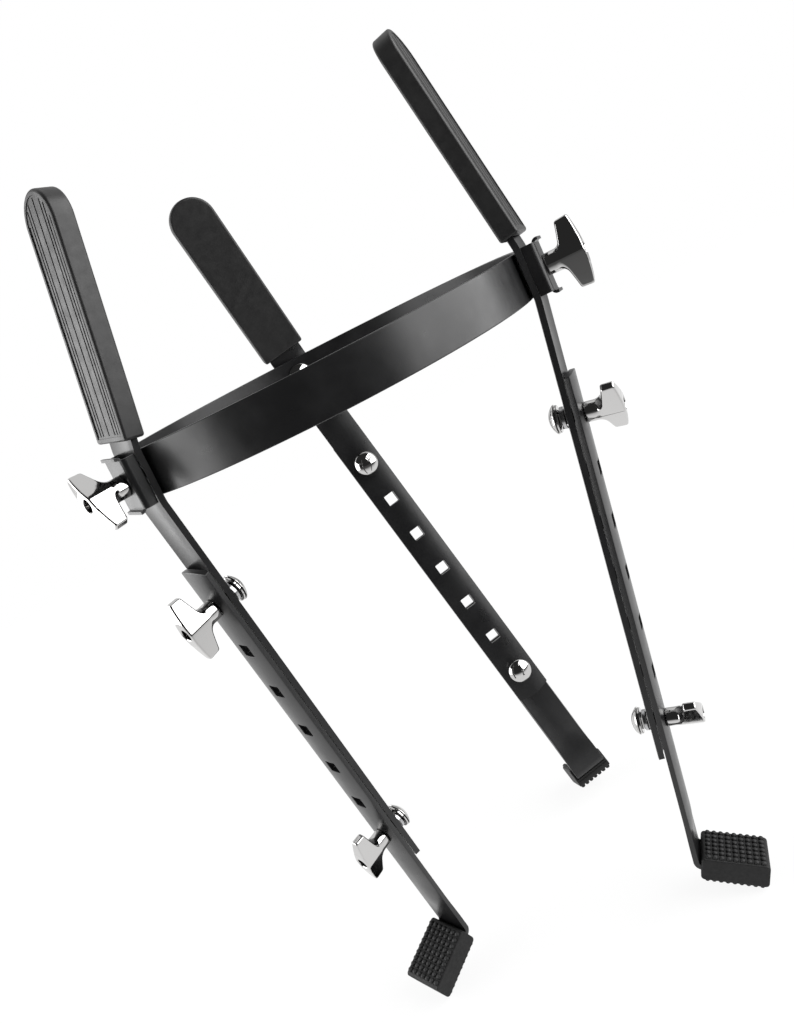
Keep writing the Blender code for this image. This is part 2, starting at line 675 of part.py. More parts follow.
def add(name, mesh, finish, parent, matrix=Matrix()):
    """A named piece with a material of its own, smooth where it is round."""
    piece = bpy.data.objects.new(name, mesh)
    stand.objects.link(piece)
    piece.parent = parent
    piece.matrix_local = matrix
    colour, roughness, metallic = FINISHES[finish]
    material = bpy.data.materials.new(name)
    material.use_nodes = True
    shader = material.node_tree.nodes["Principled BSDF"]
    shader.inputs["Base Color"].default_value = colour
    shader.inputs["Roughness"].default_value = roughness
    shader.inputs["Metallic"].default_value = metallic
    if not mesh.materials:
        mesh.materials.append(None)
        mesh.shade_smooth()
        mesh.set_sharp_from_angle(angle=math.radians(28))
    piece.material_slots[0].link = "OBJECT"
    piece.material_slots[0].material = material
    return piece


def build():
    base = empty("stand_base")
    add("hoop", make_hoop(), "powder_coat", base)

    arm_grip = make_arm_grip()
    hoop_clamp = make_hoop_clamp()
    foot = make_foot()
    bolt = make_bolt()
    wing_nut = make_wing_nut()
    flat_washer = make_flat_washer()
    spring_washer = make_spring_washer()
    bolt_runs = {"upper": FIRST_HOLE, "lower": LAST_HOLE}

    for side, leg in LEGS.items():
        lean = leg["lean"]
        seat = hoop_frame(leg["azimuth"])
        swivelled = seat @ Matrix.Rotation(math.radians(leg["swivel"]), 4, "X")
        pivot = empty(f"leg_pivot_{side}", base, swivelled)
        add(f"upper_bar_{side}", make_upper_bar(lean), "powder_coat", pivot)
        add(f"lower_bar_{side}", make_lower_bar(lean), "powder_coat", pivot)
        add(f"arm_grip_{side}", arm_grip, "rubber", pivot)
        add(f"hoop_clamp_{side}", hoop_clamp, "powder_coat", pivot)
        add(f"foot_{side}", foot, "rubber", pivot, foot_frame(lean))

        head = seat @ Matrix.Translation((HOOP_HEAD_SEAT, 0, 0))
        add(f"hoop_bolt_{side}", bolt, "chrome", base, head)
        nut_seat = swivelled @ Matrix.Translation((HOOP_NUT_SEAT, 0, 0)) @ nut_turn(side, "hoop")
        add(f"hoop_wing_nut_{side}", wing_nut, "chrome", base, nut_seat)

        for place, run in bolt_runs.items():
            along = {
                "leg_bolt": leg_frame(lean, run, LEG_HEAD_SEAT),
                "flat_washer": leg_frame(lean, run, FLAT_WASHER_SEAT),
                "spring_washer": leg_frame(lean, run, SPRING_WASHER_SEAT),
                "wing_nut": leg_frame(lean, run, LEG_NUT_SEAT) @ nut_turn(side, place),
            }
            add(f"{place}_leg_bolt_{side}", bolt, "chrome", pivot, along["leg_bolt"])
            add(f"{place}_flat_washer_{side}", flat_washer, "chrome", pivot, along["flat_washer"])
            add(f"{place}_spring_washer_{side}", spring_washer, "chrome", pivot, along["spring_washer"])
            add(f"{place}_wing_nut_{side}", wing_nut, "chrome", pivot, along["wing_nut"])
    return base


def stand_on_origin(base):
    """Moves the stand so that the middle of its box's underside is the origin."""
    bpy.context.view_layer.update()
    corners = []
    for piece in stand.objects:
        if piece.type == "MESH":
            points = np.empty(len(piece.data.vertices) * 3)
            piece.data.vertices.foreach_get("co", points)
            matrix = np.array(piece.matrix_world)
            corners.append(points.reshape(-1, 3) @ matrix[:3, :3].T + matrix[:3, 3])
    low = np.min([points.min(axis=0) for points in corners], axis=0)
    high = np.max([points.max(axis=0) for points in corners], axis=0)
    base.location = (-(low[0] + high[0]) / 2, -(low[1] + high[1]) / 2, -low[2])


stand_on_origin(build())
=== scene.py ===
"""The looks of the conga stand: every piece again as a finer mesh, with its finish.
A floor, lamps and a camera go with them.

Lengths are in metres and angles in degrees. Each leg's pieces are made in the leg's own frame, X
outwards from the hoop and Z up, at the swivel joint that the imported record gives.
"""
import json
import math

import bmesh
import bpy
import numpy as np
from mathutils import Matrix, Vector


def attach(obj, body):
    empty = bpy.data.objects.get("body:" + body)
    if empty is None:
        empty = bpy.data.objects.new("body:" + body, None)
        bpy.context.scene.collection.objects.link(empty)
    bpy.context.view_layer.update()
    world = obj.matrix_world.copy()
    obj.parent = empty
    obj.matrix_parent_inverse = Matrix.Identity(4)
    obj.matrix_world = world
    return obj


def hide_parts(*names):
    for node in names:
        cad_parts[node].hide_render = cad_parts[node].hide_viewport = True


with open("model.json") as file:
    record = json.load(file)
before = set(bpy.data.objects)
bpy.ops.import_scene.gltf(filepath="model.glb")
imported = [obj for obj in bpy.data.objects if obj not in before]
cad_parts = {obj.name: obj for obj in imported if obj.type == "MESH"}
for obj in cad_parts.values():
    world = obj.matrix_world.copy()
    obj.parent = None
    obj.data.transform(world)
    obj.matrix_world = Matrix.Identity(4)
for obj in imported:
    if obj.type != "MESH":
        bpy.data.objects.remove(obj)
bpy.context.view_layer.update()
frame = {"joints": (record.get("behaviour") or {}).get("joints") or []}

JOINTS = {joint["name"]: joint for joint in frame["joints"]}

# How each leg is set: where it stands round the hoop, its swivel off upright and its lean inwards
LEGS = {
    "right": {"azimuth": -30.0, "swivel": -3.2, "lean": 8.4},
    "back": {"azimuth": 90.0, "swivel": -8.3, "lean": 10.0},
    "left": {"azimuth": 210.0, "swivel": -7.4, "lean": 9.5},
}
NUT_TURNS = {
    "right": {"hoop": 5.0, "upper": 44.0, "lower": 47.0},
    "back": {"hoop": 0.0, "upper": 0.0, "lower": 0.0},
    "left": {"hoop": 46.0, "upper": 2.0, "lower": -12.0},
}

# Sizes. The wing nut and the bolt's length differ from the solids', and the rest are theirs
GAP = 0.0003
HOOP_OUTER = 0.153
HOOP_WALL = 0.003
HOOP_HEIGHT = 0.030
BAR_WIDTH = 0.030
BAR_THICKNESS = 0.004
BAR_BULGE = 0.002
BAR_CROWN = 0.0025
BAR_BEND = 0.022
ARM_LEAN = 10.0
HOLE_SIDE = 0.0098
FIRST_HOLE = 0.095
HOLE_PITCH = 0.0377
HOLE_COUNT = 7
LOWER_BAR_LEAD = 0.0268
UPPER_BAR_TAIL = 0.0243
FOOT_DROP = 0.1149
GRIP_START = 0.024
GRIP_LENGTH = 0.144
GRIP_INNER_WALL = 0.0015
GRIP_OUTER_WALL = 0.0051
GRIP_SIDE_WALL = 0.0035
FOOT_TURN = 75.9
FOOT_BEND = 0.0045
FOOT_MOUTH = 0.0036
FOOT_LENGTH = 0.0447
FOOT_SIDE_WALL = 0.0017
FOOT_END_WALL = 0.006
CLAMP_WALL = 0.0022
CLAMP_WIDTH = 0.0244
CLAMP_DEPTH = 0.0090
BOLT_DIAMETER = 0.008
BOLT_LENGTH = 0.038
HEAD_DIAMETER = 0.020
HEAD_HEIGHT = 0.0053
NECK_SIDE = 0.0081
NECK_LENGTH = 0.0085
SPRING_WASHER_RIM = 0.0015
SPRING_WASHER_HEIGHT = 0.0044
FLAT_WASHER_RIM = 0.0034
FLAT_WASHER_THICKNESS = 0.0016
NUT_SPAN = 0.0455
NUT_LENGTH = 0.0252
NUT_TIP_OUTER = 0.0226
NUT_WAIST = 0.0095
NUT_TIP_INNER = 0.0143
NUT_MIDDLE = 0.0124
NUT_TIP = 0.0050
NUT_BOSS = 0.0140

# Places that follow from those sizes
SEAT = BAR_BULGE + GAP
LOWER_BAR_OUT = BAR_THICKNESS + GAP
LAST_HOLE = FIRST_HOLE + (HOLE_COUNT - 1) * HOLE_PITCH
FOOT_PIVOT = LAST_HOLE + FOOT_DROP
NECK_BORE = NECK_SIDE * math.sqrt(2) + 2 * GAP
GRIP_WIDTH = BAR_WIDTH + 2 * (GAP + GRIP_SIDE_WALL)
GRIP_INNER = -BAR_BULGE - GAP - GRIP_INNER_WALL
GRIP_OUTER = BAR_THICKNESS + GAP + GRIP_OUTER_WALL
ARM_REACH = GRIP_START + GRIP_LENGTH - GRIP_WIDTH / 2
FOOT_WIDTH = BAR_WIDTH + 2 * (GAP + FOOT_SIDE_WALL)
TONGUE_END = FOOT_MOUTH + FOOT_LENGTH - FOOT_END_WALL
LEG_NUT_SEAT = LOWER_BAR_OUT + BAR_BULGE + BAR_THICKNESS + GAP
SPRING_WASHER_SEAT = -BAR_BULGE - GAP
FLAT_WASHER_SEAT = SPRING_WASHER_SEAT - SPRING_WASHER_HEIGHT - GAP
LEG_HEAD_SEAT = FLAT_WASHER_SEAT - FLAT_WASHER_THICKNESS - GAP
CLAMP_FOOT = 0.00609
WEB_OUTER = CLAMP_FOOT + CLAMP_DEPTH
HOOP_NUT_SEAT = WEB_OUTER + GAP
HOOP_HEAD_SEAT = math.sqrt((HOOP_OUTER - HOOP_WALL) ** 2 - (HEAD_DIAMETER / 2) ** 2) - HOOP_OUTER - GAP


# Camera: where it stands from the hoop's centre, and how it is turned

CAMERA_PLACE = Vector((-0.07747, -0.63893, 0.03269))
CAMERA_TURN = (75.0466, 26.4342, -13.6625)
CAMERA_LENS = 32.06
CAMERA_SHIFT = (-0.0033, 0.0109)

pivots = [Vector(JOINTS[f"leg_swivel_{side}"]["pos_m"]) for side in LEGS]
HOOP_CENTRE = sum(pivots, Vector()) / len(pivots)


def make_camera():
    data = bpy.data.cameras.new("camera")
    data.lens = CAMERA_LENS
    data.shift_x, data.shift_y = CAMERA_SHIFT
    data.clip_start = 0.01
    camera = bpy.data.objects.new("camera", data)
    bpy.context.scene.collection.objects.link(camera)
    camera.location = HOOP_CENTRE + CAMERA_PLACE
    camera.rotation_euler = [math.radians(angle) for angle in CAMERA_TURN]
    bpy.context.scene.camera = camera


# Mesh helpers

CUT_MARGIN = 0.002  # how far a cutter stands past what it cuts

workshop = bpy.data.collections.new("workshop")
bpy.context.scene.collection.children.link(workshop)


def baked(holder):
    depsgraph = bpy.context.evaluated_depsgraph_get()
    mesh = bpy.data.meshes.new_from_object(holder.evaluated_get(depsgraph))
    bpy.data.objects.remove(holder)
    return mesh


def held(data):
    holder = bpy.data.objects.new("holder", data)
    workshop.objects.link(holder)
    return holder


def modified(mesh, kind, **settings):
    holder = held(mesh)
    modifier = holder.modifiers.new(kind.title(), kind)
    for name, value in settings.items():
        setattr(modifier, name, value)
    return baked(holder)


def joined_or_cut(mesh, tool_mesh, operation):
    tool = held(tool_mesh)
    result = modified(mesh, "BOOLEAN", operation=operation, object=tool, solver="EXACT")
    bpy.data.objects.remove(tool)
    return result


def rounded(mesh, width, segments=2, angle=35.0):
    return modified(
        mesh, "BEVEL", width=width, segments=segments, limit_method="ANGLE",
        angle_limit=math.radians(angle), use_clamp_overlap=True)


def as_mesh(shape):
    mesh = bpy.data.meshes.new("shape")
    shape.to_mesh(mesh)
    shape.free()
    return mesh


def placed(mesh, matrix):
    mesh.transform(matrix)
    return mesh


def box(low, high, matrix=Matrix()):
    low, high = Vector(low), Vector(high)
    shape = bmesh.new()
    size = Matrix.Diagonal((*(high - low), 1.0))
    bmesh.ops.create_cube(shape, size=1.0, matrix=matrix @ Matrix.Translation((low + high) / 2) @ size)
    return as_mesh(shape)


def rod(diameter, start, end, facets=48):
    along_x = Matrix.Translation(((start + end) / 2, 0, 0)) @ Matrix.Rotation(math.pi / 2, 4, "Y")
    shape = bmesh.new()
    bmesh.ops.create_cone(
        shape, cap_ends=True, segments=facets, radius1=diameter / 2, radius2=diameter / 2,
        depth=end - start, matrix=along_x)
    return as_mesh(shape)


def together(meshes):
    shape = bmesh.new()
    for mesh in meshes:
        shape.from_mesh(mesh)
    return as_mesh(shape)


def turned(profile, facets, closed=False):
    """A profile of radius and height, outer side running down, turned round Z."""
    shape = bmesh.new()
    corners = [shape.verts.new((radius, 0, height)) for radius, height in profile]
    for first, second in zip(corners, corners[1:]):
        shape.edges.new((first, second))
    if closed:
        shape.edges.new((corners[-1], corners[0]))
    return modified(
        as_mesh(shape), "SCREW", axis="Z", steps=facets, render_steps=facets,
        use_merge_vertices=True, merge_threshold=0.00001, use_normal_calculate=False)


def plate(outline, thickness):
    curve = bpy.data.curves.new("outline", "CURVE")
    curve.dimensions = "2D"
    curve.fill_mode = "BOTH"
    curve.extrude = thickness / 2
    spline = curve.splines.new("POLY")
    spline.points.add(len(outline) - 1)
    for point, (x, y) in zip(spline.points, outline):
        point.co = (x, y, 0, 1)
    spline.use_cyclic_u = True
    shape = bmesh.new()
    shape.from_mesh(baked(held(curve)))
    bmesh.ops.remove_doubles(shape, verts=shape.verts, dist=0.000001)
    bmesh.ops.dissolve_limit(
        shape, angle_limit=math.radians(1), verts=shape.verts, edges=shape.edges)
    bmesh.ops.recalc_face_normals(shape, faces=shape.faces)
    return as_mesh(shape)


# Frames along the leg, and the lines that the bars follow

def bend_reach(lean):
    return BAR_BEND * math.tan(math.radians(lean) / 2)


def line_base(lean):
    return SEAT + (HOOP_HEIGHT / 2 + bend_reach(lean)) * math.tan(math.radians(lean))


def arm_frame(run, out=0.0):
    turn = Matrix.Rotation(-math.radians(ARM_LEAN), 4, "Y")
    return Matrix.Translation((line_base(ARM_LEAN), 0, 0)) @ turn @ Matrix.Translation((out, 0, run))


def leg_frame(lean, run, out=0.0):
    turn = Matrix.Rotation(math.radians(lean), 4, "Y")
    return Matrix.Translation((line_base(lean), 0, 0)) @ turn @ Matrix.Translation((out, 0, -run))


def foot_frame(lean):
    pivot = leg_frame(lean, FOOT_PIVOT, LOWER_BAR_OUT + BAR_THICKNESS / 2).translation
    return Matrix.Translation(pivot) @ Matrix.Rotation(math.radians(lean + 90 - FOOT_TURN), 4, "Y")


def side_point(matrix):
    return Vector((matrix.translation.x, matrix.translation.z))


def crossing(lean):
    upright = SEAT + BAR_THICKNESS / 2
    angle = math.radians(lean)
    shift = BAR_THICKNESS / 2
    run = (line_base(lean) + shift * math.cos(angle) - upright) / math.sin(angle)
    return Vector((upright, run * math.cos(angle) + shift * math.sin(angle)))


def rounded_path(corners, bends):
    """Points and headings along a line of corners; each inner corner has a bend radius and steps."""
    route = [(corners[0], (corners[1] - corners[0]).normalized())]
    for before, corner, after, (radius, steps) in zip(corners, corners[1:], corners[2:], bends):
        coming = (corner - before).normalized()
        going = (after - corner).normalized()
        turn = math.atan2(coming.cross(going), coming.dot(going))
        start = corner - coming * radius * math.tan(abs(turn) / 2)
        side = Vector((-coming.y, coming.x)) * math.copysign(radius, turn)
        for step in range(steps + 1):
            swing = Matrix.Rotation(turn * step / steps if steps else 0.0, 2)
            route.append((start + side - swing @ side, swing @ coming))
    route.append((corners[-1], (corners[-1] - corners[-2]).normalized()))
    return route


BAR_COLUMNS = 16
BAR_EDGE_ROUND = 0.0005


def pressed_strip(route, bulges, start_crown=0.0, end_crown=0.0):
    rows = len(route) - 1
    shape = bmesh.new()
    bmesh.ops.create_grid(shape, x_segments=rows, y_segments=BAR_COLUMNS, size=1)
    for vertex in shape.verts:
        row = round((vertex.co.x + 1) / 2 * rows)
        across = vertex.co.y
        point, heading = route[row]
        left = Vector((-heading.y, heading.x))
        crest = 1 - across ** 2
        edge_tilt = math.atan(4 * bulges[row] / BAR_WIDTH)
        half_width = BAR_WIDTH / 2 - BAR_THICKNESS / 2 * abs(math.sin(edge_tilt))
        spot = point + left * bulges[row] * crest
        if row == 0:
            spot = spot - heading * start_crown * crest
        if row == rows:
            spot = spot + heading * end_crown * crest
        vertex.co = (spot.x, across * half_width, spot.y)
    return modified(
        as_mesh(shape), "SOLIDIFY", thickness=BAR_THICKNESS, offset=0.0, use_even_offset=True)


HOLE_CORNER = 0.0008


def square_holes(lean):
    half = HOLE_SIDE / 2
    inner = -BAR_BULGE - CUT_MARGIN
    outer = LEG_NUT_SEAT + CUT_MARGIN
    cutters = []
    for index in range(HOLE_COUNT):
        cutter = bmesh.new()
        cutter.from_mesh(box((inner, -half, -half), (outer, half, half)))
        along = [edge for edge in cutter.edges if abs(edge.verts[0].co.x - edge.verts[1].co.x) > 0.001]
        bmesh.ops.bevel(
            cutter, geom=along, offset=HOLE_CORNER, segments=3, affect="EDGES", profile=0.5)
        cutters.append(placed(as_mesh(cutter), leg_frame(lean, FIRST_HOLE + index * HOLE_PITCH)))
    return together(cutters)


def make_upper_bar(lean):
    below = crossing(lean)
    corners = [
        side_point(arm_frame(ARM_REACH, BAR_THICKNESS / 2)),
        crossing(ARM_LEAN),
        Vector((below.x, -below.y)),
        side_point(leg_frame(lean, LAST_HOLE + UPPER_BAR_TAIL, BAR_THICKNESS / 2)),
    ]
    route = rounded_path(corners, [(BAR_BEND, 6)] * 2)
    bar = pressed_strip(route, [-BAR_BULGE] * len(route), BAR_CROWN, BAR_CROWN)
    bar = joined_or_cut(bar, square_holes(lean), "DIFFERENCE")
    neck_hole = rod(NECK_BORE, -CUT_MARGIN, SEAT + BAR_THICKNESS + CUT_MARGIN)
    bar = joined_or_cut(bar, neck_hole, "DIFFERENCE")
    return rounded(bar, BAR_EDGE_ROUND)


def make_lower_bar(lean):
    middle = LOWER_BAR_OUT + BAR_THICKNESS / 2
    tip = foot_frame(lean) @ Matrix.Translation((TONGUE_END, 0, 0))
    flat_steps = 12
    flattening = np.linspace(0.040, 0.012, flat_steps + 1)
    corners = [side_point(leg_frame(lean, FIRST_HOLE - LOWER_BAR_LEAD, middle))]
    corners += [side_point(leg_frame(lean, FOOT_PIVOT - back, middle)) for back in flattening]
    corners += [side_point(leg_frame(lean, FOOT_PIVOT, middle)), side_point(tip)]
    bends = [(0.0, 0)] * len(flattening) + [(FOOT_BEND, 10)]
    route = rounded_path(corners, bends)
    shares = 0.5 + 0.5 * np.cos(np.linspace(0, math.pi, flat_steps + 1))
    bulges = [BAR_BULGE] + [BAR_BULGE * float(share) for share in shares]
    bulges += [0.0] * (len(route) - len(bulges))
    bar = pressed_strip(route, bulges, BAR_CROWN)
    bar = joined_or_cut(bar, square_holes(lean), "DIFFERENCE")
    return rounded(bar, BAR_EDGE_ROUND)


# Arm grip

PANEL_MARGIN = 0.0032
PANEL_DEPTH = 0.0005
GROOVE_WIDTH = 0.0013
GROOVE_DEPTH = 0.0011
GROOVE_END_MARGIN = 0.0012
CENTRE_RIB = 0.0062
SIDE_RIB = 0.0021
GRIP_ROUND = 0.0018


def tongue_outline(half_width, bottom, centre, steps):
    angles = np.linspace(0, math.pi, steps + 1)
    top = [(half_width * math.cos(a), centre + half_width * math.sin(a)) for a in angles]
    return [(-half_width, bottom), (half_width, bottom)] + top


def facing_out(run_outwards):
    turn = Matrix(((0, 0, 1, run_outwards), (1, 0, 0, 0), (0, 1, 0, 0), (0, 0, 0, 1)))
    return arm_frame(0) @ turn


def make_arm_grip():
    thickness = GRIP_OUTER - GRIP_INNER
    grip = plate(tongue_outline(GRIP_WIDTH / 2, GRIP_START, ARM_REACH, 48), thickness)
    grip = rounded(placed(grip, facing_out((GRIP_OUTER + GRIP_INNER) / 2)), GRIP_ROUND, segments=4)
    half_pocket = BAR_WIDTH / 2 + GAP
    pocket = box(
        (-BAR_BULGE - GAP, -half_pocket, GRIP_START - CUT_MARGIN),
        (BAR_THICKNESS + GAP, half_pocket, ARM_REACH + BAR_CROWN + GAP), arm_frame(0))
    grip = joined_or_cut(grip, pocket, "DIFFERENCE")
    panel_half = GRIP_WIDTH / 2 - PANEL_MARGIN
    panel_bottom = GRIP_START + PANEL_MARGIN
    panel = plate(tongue_outline(panel_half, panel_bottom, ARM_REACH, 40), 2 * PANEL_DEPTH)
    grip = joined_or_cut(grip, placed(panel, facing_out(GRIP_OUTER)), "DIFFERENCE")
    pitch_in = CENTRE_RIB + GROOVE_WIDTH
    pitch_out = SIDE_RIB + GROOVE_WIDTH
    side = [pitch_in, pitch_in + pitch_out, pitch_in + 2 * pitch_out]
    floor = GRIP_OUTER - PANEL_DEPTH - GROOVE_DEPTH
    reach = panel_half - GROOVE_END_MARGIN
    grooves = []
    for place in [-value for value in reversed(side)] + [0.0] + side:
        top = ARM_REACH + math.sqrt(max(reach ** 2 - place ** 2, 0.0))
        low = (floor, place - GROOVE_WIDTH / 2, panel_bottom + GROOVE_END_MARGIN)
        high = (GRIP_OUTER + CUT_MARGIN, place + GROOVE_WIDTH / 2, top)
        grooves.append(box(low, high, arm_frame(0)))
    grip = joined_or_cut(grip, together(grooves), "DIFFERENCE")
    return rounded(grip, 0.0002, segments=2, angle=50.0)


# Foot: a block with round ends whose two broad faces carry domed nubs

NUBS_ALONG = 9
NUBS_ACROSS = 7
NUB_SIDES = 20
NUB_HEIGHT = 0.0021
NUB_SUNK = 0.0012
NUB_RADIUS = 0.00192
NUB_PROFILE = [
    (0.0, 1.0), (0.25, 0.985), (0.50, 0.93), (0.72, 0.82), (0.88, 0.64), (0.97, 0.38), (1.0, 0.0)]
NUB_LEVEL = 0.0088
FOOT_END_ROUND = 0.0028
FOOT_EDGE_ROUND = 0.0010
FOOT_ROUND_STEPS = 6
FOOT_END_SWELL = 0.0009
FIELD_END_MARGIN = 0.0014
FIELD_SIDE_MARGIN = 0.0005
MOUTH_GROOVE = 0.0009
MOUTH_GROOVE_OUT = 0.0015


def make_nubs():
    """The nubs of one broad face, standing on their level and sunk a little into it."""
    profile = [(NUB_RADIUS * share, NUB_HEIGHT * lift) for share, lift in NUB_PROFILE]
    dome = turned(profile + [(NUB_RADIUS, -NUB_SUNK), (0.0, -NUB_SUNK)], NUB_SIDES)
    length = FOOT_LENGTH - 2 * FIELD_END_MARGIN
    width = FOOT_WIDTH - 2 * FIELD_SIDE_MARGIN
    shape = bmesh.new()
    for along in range(NUBS_ALONG):
        for across in range(NUBS_ACROSS):
            x = FOOT_MOUTH + FIELD_END_MARGIN + length * (along + 0.5) / NUBS_ALONG
            y = width * ((across + 0.5) / NUBS_ACROSS - 0.5)
            nub = dome.copy()
            nub.transform(Matrix.Translation((x, y, NUB_LEVEL)))
            shape.from_mesh(nub)
            bpy.data.meshes.remove(nub)
    return as_mesh(shape)


def foot_block():
    """The foot's body, its ends rounded over from broad face to broad face."""
    low = FOOT_MOUTH - FOOT_END_SWELL
    high = FOOT_MOUTH + FOOT_LENGTH + FOOT_END_SWELL
    shape = bmesh.new()
    shape.from_mesh(box((low, -FOOT_WIDTH / 2, -NUB_LEVEL), (high, FOOT_WIDTH / 2, NUB_LEVEL)))
    across = [edge for edge in shape.edges if abs(edge.verts[0].co.y - edge.verts[1].co.y) > NUB_LEVEL]
    bmesh.ops.bevel(
        shape, geom=across, offset=FOOT_END_ROUND, segments=FOOT_ROUND_STEPS, affect="EDGES", profile=0.5)
    return rounded(as_mesh(shape), FOOT_EDGE_ROUND, segments=3)


def make_foot():
    foot = foot_block()
    for turn in (0.0, math.pi):
        nubs = placed(make_nubs(), Matrix.Rotation(turn, 4, "X"))
        foot = joined_or_cut(foot, nubs, "UNION")
    half_pocket = BAR_WIDTH / 2 + GAP
    half_gap = BAR_THICKNESS / 2 + GAP
    start = FOOT_MOUTH - FOOT_END_SWELL
    for side in (1, -1):
        inner = side * (half_gap + MOUTH_GROOVE_OUT)
        outer = side * (half_gap + MOUTH_GROOVE_OUT + MOUTH_GROOVE)
        groove = box(
            (start - CUT_MARGIN, -half_pocket, min(inner, outer)),
            (start + MOUTH_GROOVE, half_pocket, max(inner, outer)))
        foot = joined_or_cut(foot, groove, "DIFFERENCE")
    pocket = box((start - CUT_MARGIN, -half_pocket, -half_gap), (TONGUE_END + GAP, half_pocket, half_gap))
    return joined_or_cut(foot, pocket, "DIFFERENCE")


# Hoop and clamp

HOOP_EDGE_ROUND = 0.0007
HOOP_FACETS = 288


def make_hoop():
    low, high = -HOOP_HEIGHT / 2, HOOP_HEIGHT / 2
    edge = HOOP_EDGE_ROUND
    inner, outer = HOOP_OUTER - HOOP_WALL, HOOP_OUTER
    turn = np.linspace(0, math.pi / 2, 4)
    corners = [(outer - edge, high - edge, 90, -1), (outer - edge, low + edge, 0, -1),
               (inner + edge, low + edge, -90, -1), (inner + edge, high - edge, 180, -1)]
    profile = []
    for x, y, start, sense in corners:
        for angle in turn:
            heading = math.radians(start) + sense * angle
            profile.append((x + edge * math.cos(heading), y + edge * math.sin(heading)))
    hoop = turned(profile, HOOP_FACETS, closed=True)
    half = NECK_SIDE / 2 + GAP
    cutters = []
    for leg in LEGS.values():
        round_hoop = Matrix.Rotation(math.radians(leg["azimuth"]), 4, "Z")
        seat = round_hoop @ Matrix.Translation((HOOP_OUTER, 0, 0))
        inmost = (-HOOP_WALL - CUT_MARGIN, -half, -half)
        cutters.append(box(inmost, (CUT_MARGIN, half, half), seat))
    return joined_or_cut(hoop, together(cutters), "DIFFERENCE")


def sheet(route, half_width, wall):
    rows = len(route) - 1
    shape = bmesh.new()
    bmesh.ops.create_grid(shape, x_segments=rows, y_segments=1, size=1)
    for vertex in shape.verts:
        point = route[round((vertex.co.x + 1) / 2 * rows)][0]
        vertex.co = (point.x, vertex.co.y * half_width, point.y)
    return modified(as_mesh(shape), "SOLIDIFY", thickness=wall, offset=0.0, use_even_offset=True)


CLAMP_BEND = 0.0022
CLAMP_OVERHANG = 0.0010
LIP_REACH = 0.0023
LIP_RISE = 0.0013
LIP_ROOT = 0.0016
LIP_BEND = 0.0025
LIP_INSET = 0.0034
CLAMP_EDGE_ROUND = 0.0005


def make_hoop_clamp():
    web_middle = WEB_OUTER - CLAMP_WALL / 2
    side = (CLAMP_WIDTH - CLAMP_WALL) / 2
    half_length = HOOP_HEIGHT / 2 + CLAMP_OVERHANG
    route = rounded_path(
        [Vector((CLAMP_FOOT, side)), Vector((web_middle, side)), Vector((web_middle, -side)),
         Vector((CLAMP_FOOT, -side))], [(CLAMP_BEND, 8)] * 2)
    clamp = placed(sheet(route, half_length, CLAMP_WALL), Matrix.Rotation(math.pi / 2, 4, "X"))
    for way in (1, -1):
        lip_route = rounded_path(
            [Vector((WEB_OUTER + LIP_REACH, way * (half_length + LIP_RISE))),
             Vector((web_middle, way * (half_length + LIP_RISE))),
             Vector((web_middle, way * (half_length - LIP_ROOT)))], [(LIP_BEND, 8)])
        lip = sheet(lip_route, CLAMP_WIDTH / 2 - LIP_INSET, CLAMP_WALL - GAP)
        clamp = joined_or_cut(clamp, lip, "UNION")
    hole = rod(BOLT_DIAMETER + 2 * GAP, CLAMP_FOOT, HOOP_NUT_SEAT + CUT_MARGIN)
    clamp = joined_or_cut(clamp, hole, "DIFFERENCE")
    return rounded(clamp, CLAMP_EDGE_ROUND, segments=2, angle=50.0)


# Fasteners: each lies along X from its seat at zero

THREAD_PITCH = 0.00125
THREAD_DEPTH = 0.00065
THREAD_FACETS = 24
THREAD_SUNK = 0.0001


def make_bolt():
    radius = HEAD_DIAMETER / 2
    rim = 0.0008
    dome = HEAD_HEIGHT - rim
    ball = (radius ** 2 + dome ** 2) / (2 * dome)
    sweep = math.asin(radius / ball)
    profile = []
    for angle in np.linspace(0, sweep * 0.97, 14):
        profile.append((ball * math.sin(angle), HEAD_HEIGHT - ball + ball * math.cos(angle)))
    shank = BOLT_DIAMETER / 2 - THREAD_DEPTH
    profile += [(radius, rim * 0.6), (radius, rim * 0.35), (radius - 0.0003, 0.0), (shank, 0.0)]
    profile += [(shank, -BOLT_LENGTH), (0.0, -BOLT_LENGTH)]
    bolt = turned(profile, 64)
    half = NECK_SIDE / 2
    neck = box((-half, -half, -NECK_LENGTH), (half, half, rim / 2))
    bolt = joined_or_cut(bolt, neck, "UNION")
    bolt = together([bolt, make_thread(shank)])
    return placed(bolt, Matrix.Rotation(-math.pi / 2, 4, "Y"))


